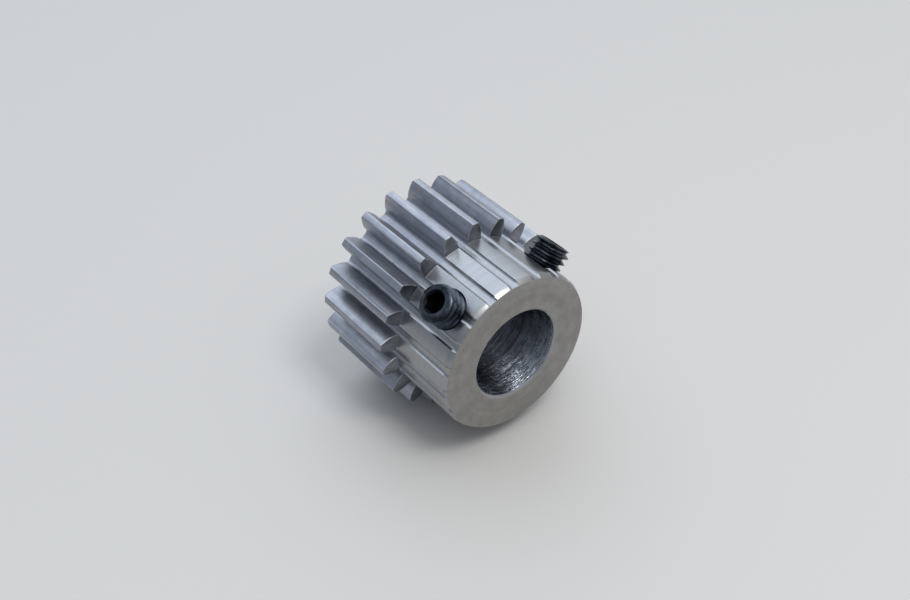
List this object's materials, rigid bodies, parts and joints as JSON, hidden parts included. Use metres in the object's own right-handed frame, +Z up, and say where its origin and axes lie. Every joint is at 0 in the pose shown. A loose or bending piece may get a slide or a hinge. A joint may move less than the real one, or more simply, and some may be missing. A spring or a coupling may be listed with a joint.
{
  "type": "extruder gear assembly",
  "caption": "Steel spur pinion with a turned-down hub, clamped to a round shaft by two set screws in the hub.",
  "frame": {"origin": "on the bore axis, halfway between the nose face and the toothed end face", "axes": "+Y along the bore from the hub's nose to the toothed end; +Z up as the pinion lies on two tooth tips with its set screws on top; +X completes a right-handed frame"},
  "size_m": [0.0218, 0.018, 0.0218],
  "materials": {
    "gear_steel": "bare machined steel, milled along the teeth, turned on the hub and the nose face",
    "black_oxide_steel": "black-oxide alloy steel, semi-gloss"
  },
  "bodies": {
    "gear": {"gear_body": "gear_steel"},
    "screw_1": {"set_screw_1": "black_oxide_steel"},
    "screw_2": {"set_screw_2": "black_oxide_steel"}
  },
  "joints": [
    {"name": "set_screw_1_travel", "type": "slide", "parent": "gear", "child": "screw_1", "axis": [-0.6293, 0, 0.7771], "range_m": [-0.00065, 0.0025]},
    {"name": "set_screw_2_travel", "type": "slide", "parent": "gear", "child": "screw_2", "axis": [0.7314, 0, 0.682], "range_m": [-0.00065, 0.0025]}
  ]
}
